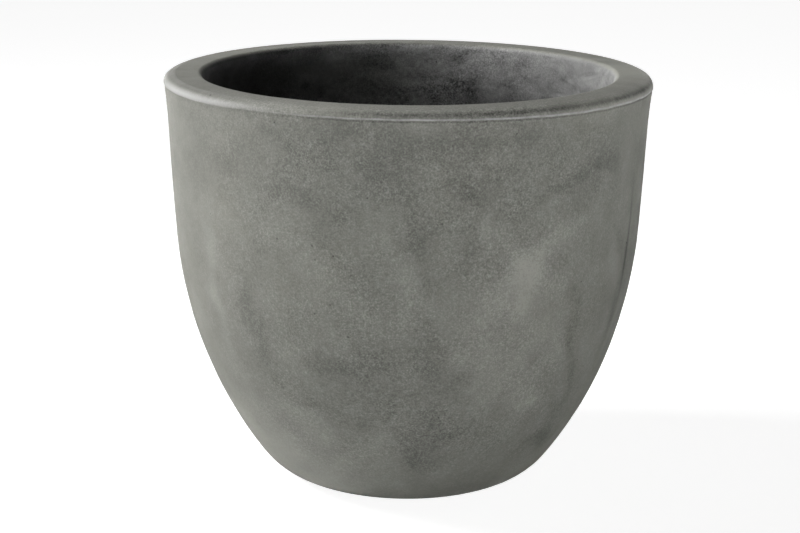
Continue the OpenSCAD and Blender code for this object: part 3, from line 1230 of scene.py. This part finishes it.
    def _sum_patches(self, points: np.ndarray, inside: np.ndarray) -> np.ndarray:
        """Sum of the soft patches, each a bell curve across and up its face, with stirred edges.

        Args:
            points: Places, one row each.
            inside: How far each is on the inner face, from 0 to 1.

        Returns:
            One value for each point.
        """
        azimuth = np.degrees(np.arctan2(points[:, 0], -points[:, 1]))
        radius = np.hypot(points[:, 0], points[:, 1])
        stir_east = ripple(points, wavelength=0.05, seed=21)
        stir_up = ripple(points, wavelength=0.05, seed=22)
        outside = 1 - inside
        total = np.zeros(len(points))
        faces = [(patch, outside) for patch in self.outer_patches] + [(patch, inside) for patch in self.inner_patches]
        for patch, face in faces:
            turn = (azimuth - patch.azimuth + 180) % 360 - 180
            lean = math.radians(patch.lean)
            stir = 0.3 * min(patch.half_width, patch.half_height)
            east = np.radians(turn) * radius + stir * stir_east
            up = points[:, 2] - patch.height + stir * stir_up
            u = (east * math.cos(lean) + up * math.sin(lean)) / patch.half_width
            v = (up * math.cos(lean) - east * math.sin(lean)) / patch.half_height
            v = np.where(v < 0, v * patch.crisp, v)
            total += patch.strength * np.exp(-(u * u + v * v)) * face
        return total

    def dress(self, made: bpy.types.Object) -> None:
        """Gives the casting its concrete."""
        finish = ConcreteFinish("cast_concrete", (0.2535, 0.254, 0.23))
        attach(made, Body.PLANTER, "bowl_shell", finish)


@dataclass
class Sleeve:
    """The drain's plastic sleeve: a tube with a flange flush in the floor and a water stop round its middle."""

    low: float
    high: float
    flange_radius: float
    bore_radius: float = 0.0125
    tube_radius: float = 0.015
    flange_depth: float = 0.003
    stop_radius: float = 0.020
    stop_low: float = 0.01775
    stop_high: float = 0.02025
    edge: float = 0.0004
    columns: int = 192

    def build(self) -> bpy.types.Object:
        """Builds the sleeve's mesh.

        Returns:
            The sleeve.
        """
        ledge = self.high - self.flange_depth
        corners = [
            (self.bore_radius, self.low, self.edge),
            (self.tube_radius, self.low, self.edge),
            (self.tube_radius, self.stop_low, self.edge / 2),
            (self.stop_radius, self.stop_low, self.edge),
            (self.stop_radius, self.stop_high, self.edge),
            (self.tube_radius, self.stop_high, self.edge / 2),
            (self.tube_radius, ledge, self.edge / 2),
            (self.flange_radius, ledge, self.edge),
            (self.flange_radius, self.high, self.edge * 1.5),
            (self.bore_radius, self.high, self.edge * 2),
        ]
        return ring_object("sleeve_tube", turned(rounded(corners, closed=True), self.columns)[0])

    def dress(self, made: bpy.types.Object) -> None:
        """Gives the sleeve its plastic."""
        finish = PlasticFinish("drain_plastic", (0.045, 0.047, 0.05))
        attach(made, Body.PLANTER, "drain_sleeve", finish)


@dataclass
class Stopper:
    """The rubber stopper: a tapered stem, a head that lies on the sleeve, and a neck with a round knob."""

    low: float
    high: float
    head_radius: float
    seat: float
    stem_radius: float = 0.0122
    tip_radius: float = 0.0114
    head_depth: float = 0.005
    neck_radius: float = 0.0045
    knob_radius: float = 0.008
    end_radius: float = 0.004
    tip_round: float = 0.0012
    stem_round: float = 0.0003
    seat_round: float = 0.0006
    head_round: float = 0.0016
    neck_round: float = 0.0014
    columns: int = 160

    def build(self) -> bpy.types.Object:
        """Builds the stopper's mesh.

        Returns:
            The stopper.
        """
        head_top = self.seat + self.head_depth
        knob_middle = self.high - self.knob_radius
        neck_drop = math.sqrt(self.knob_radius**2 - self.neck_radius**2)
        corners = [
            (self.end_radius, self.low, 0.0),
            (self.tip_radius, self.low, self.tip_round),
            (self.stem_radius, self.seat, self.stem_round),
            (self.head_radius, self.seat, self.seat_round),
            (self.head_radius, head_top, self.head_round),
            (self.neck_radius, head_top, self.neck_round),
            (self.neck_radius, knob_middle - neck_drop, 0.0),
        ]
        start = -math.degrees(math.atan2(neck_drop, self.neck_radius))
        knob = bend((0.0, knob_middle), self.knob_radius, start=start + 3, end=88, step=0.0006)
        section = np.concatenate([rounded(corners, closed=False, steps=8), knob])
        return capped_object("stopper_body", turned(section, self.columns)[0])

    def dress(self, made: bpy.types.Object) -> None:
        """Gives the stopper its rubber."""
        finish = RubberFinish("black_rubber", (0.014, 0.014, 0.014))
        attach(made, Body.STOPPER, "drain_plug", finish)


@dataclass(frozen=True)
class Cage:
    """The steel cage inside the wall: hoops, bars and tie wires. The concrete hides it, so it keeps its solids."""

    bars: SteelFinish = SteelFinish("bar_steel", (0.3, 0.28, 0.26))
    wires: SteelFinish = SteelFinish("tie_wire", (0.12, 0.11, 0.105), rusted=0.1)

    def dress(self, frame: dict[str, Any]) -> None:
        """Gives each of its nodes the steel that is named after the node's material slot.

        Args:
            frame: The loaded frame.
        """
        for finish in (self.bars, self.wires):
            material = finish.material()
            for part in frame["record"]["subparts"]:
                if part["material_slot"] == finish.name:
                    made = frame["nodes"][part["node"]]
                    made.data.materials.clear()
                    made.data.materials.append(material)
                    log.info("%s: %s", part["node"], finish.name)


# ---------------------------------------------------------------------------------------------
# Camera, lights and floor
# ---------------------------------------------------------------------------------------------


@dataclass(frozen=True)
class PhotoCamera:
    """The camera, found from the rim's two ellipses and the outline of the wall.

    It looks down by pitch, to the right by yaw, and is tilted by roll.
    """

    distance: float = 2.0
    height: float = 0.72285
    focal_pixels: float = 1961.6
    picture_width: int = 800
    sensor: float = 36.0
    pitch: float = 14.18
    yaw: float = -0.203
    roll: float = 0.43

    def place(self) -> None:
        """Makes the camera and sets it as the scene's own."""
        pitch, yaw, roll = (math.radians(a) for a in (self.pitch, self.yaw, self.roll))
        ahead = Vector((math.sin(yaw) * math.cos(pitch), math.cos(yaw) * math.cos(pitch), -math.sin(pitch)))
        right = Vector((math.cos(yaw), -math.sin(yaw), 0.0))
        up = right.cross(ahead)
        right, up = (
            right * math.cos(roll) + up * math.sin(roll),
            up * math.cos(roll) - right * math.sin(roll),
        )
        data = bpy.data.cameras.new("camera")
        data.sensor_fit = "HORIZONTAL"
        data.sensor_width = self.sensor
        data.lens = self.focal_pixels / self.picture_width * self.sensor
        made = bpy.data.objects.new("camera", data)
        axes = Matrix((right, up, -ahead)).transposed().to_4x4()
        made.matrix_world = Matrix.Translation((0.0, -self.distance, self.height)) @ axes
        bpy.context.scene.collection.objects.link(made)
        bpy.context.scene.camera = made


@dataclass(frozen=True)
class Lamp:
    """A soft area lamp, aimed at a point. Its azimuth is 0 in front of the bowl and 90 on its right."""

    name: str
    azimuth: float
    elevation: float
    distance: float
    width: float
    depth: float
    power: float
    aim: tuple[float, float, float]

    def place(self) -> None:
        """Makes the lamp."""
        turn, rise = math.radians(self.azimuth), math.radians(self.elevation)
        offset = Vector((math.sin(turn) * math.cos(rise), -math.cos(turn) * math.cos(rise), math.sin(rise)))
        data = bpy.data.lights.new(self.name, "AREA")
        data.shape = "RECTANGLE"
        data.size, data.size_y = self.width, self.depth
        data.energy = self.power
        made = bpy.data.objects.new(self.name, data)
        made.visible_camera = False
        made.location = Vector(self.aim) + offset * self.distance
        made.rotation_euler = offset.to_track_quat("Z", "Y").to_euler()
        bpy.context.scene.collection.objects.link(made)


KEY_LAMP = Lamp(
    name="key",
    azimuth=-97.0,
    elevation=36.0,
    distance=2.2,
    width=0.9,
    depth=0.9,
    power=64.0,
    aim=(0.0, 0.0, 0.3),
)


@dataclass(frozen=True)
class Studio:
    """A plain pale floor, a soft key light from the left and a white band low round the horizon."""

    floor_half: float = 9.0
    floor_drop: float = 0.0002
    floor_tone: float = 0.5
    floor_glow: float = 0.92
    band_strength: float = 12.8
    band_top: float = 0.08
    lamps: tuple[Lamp, ...] = (KEY_LAMP,)

    def place(self) -> None:
        """Makes the floor, the lamps and the world."""
        self._floor()
        for lamp in self.lamps:
            lamp.place()
        self._world()

    def _floor(self) -> None:
        """Makes the floor. Camera rays see it glow up to white, apart from the object's shadow."""
        half, low = self.floor_half, -self.floor_drop
        corners = np.array([[-half, -half, low], [half, -half, low], [half, half, low], [-half, half, low]])
        floor = mesh_object("floor", corners, [[0, 1, 2, 3]])
        material = bpy.data.materials.new("pale_floor")
        material.use_nodes = True
        graph = Graph(material.node_tree)
        seen = self._seen(graph)
        tone = self.floor_tone
        matt = graph.node("ShaderNodeBsdfDiffuse", None, {"Color": (tone, tone, tone, 1.0)})
        glow = graph.node("ShaderNodeEmission", None, {"Strength": seen * self.floor_glow})
        both = graph.node("ShaderNodeAddShader", None, {0: matt.outputs[0], 1: glow.outputs[0]})
        graph.node("ShaderNodeOutputMaterial", None, {0: both.outputs[0]})
        floor.data.materials.append(material)

    @staticmethod
    def _seen(graph: Graph) -> Value:
        """Tells the rays that see a surface from those that carry light.

        Args:
            graph: The nodes of a material or the world.

        Returns:
            1 for camera, glossy and transmission rays, and 0 for the others.
        """
        outputs = graph.node("ShaderNodeLightPath").outputs
        seen = Value(graph, outputs["Is Camera Ray"])
        for kind in ("Is Glossy Ray", "Is Transmission Ray"):
            seen = seen.math("MAXIMUM", Value(graph, outputs[kind]))
        return seen

    def _world(self) -> None:
        """Makes the world: white where it is seen, and as light a white band low round the horizon."""
        world = bpy.data.worlds.new("studio")
        world.use_nodes = True
        bpy.context.scene.world = world
        graph = Graph(world.node_tree)
        direction = graph.node("ShaderNodeTexCoord").outputs["Generated"]
        up = graph.parts(direction)[2]
        light = up.step(self.band_top, 0.0) * self.band_strength
        seen = self._seen(graph)
        strength = seen + (1 - seen) * light
        shader = graph.node("ShaderNodeBackground", None, {"Color": (1.0, 1.0, 1.0, 1.0), "Strength": strength})
        graph.node("ShaderNodeOutputWorld", None, {0: shader.outputs[0]})


def main() -> None:
    """Loads the frame, builds and dresses each piece, and sets the camera and the lights."""
    logging.basicConfig(level=logging.INFO, format="%(name)s: %(message)s")
    bpy.ops.wm.read_factory_settings(use_empty=True)
    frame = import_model()
    PhotoCamera().place()

    low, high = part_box("bowl_shell")
    casting = Casting(rim_radius=min(-low.x, -low.y, high.x, high.y), height=high.z)
    casting.dress(casting.build())

    low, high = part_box("drain_sleeve")
    sleeve = Sleeve(low=low.z, high=high.z, flange_radius=high.x)
    sleeve.dress(sleeve.build())

    low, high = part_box("drain_plug")
    stopper = Stopper(low=low.z, high=high.z, head_radius=high.x, seat=sleeve.high)
    stopper.dress(stopper.build())

    Cage().dress(frame)
    Studio().place()
    bpy.context.scene.view_settings.view_transform = "Standard"


if __name__ == "__main__":
    main()
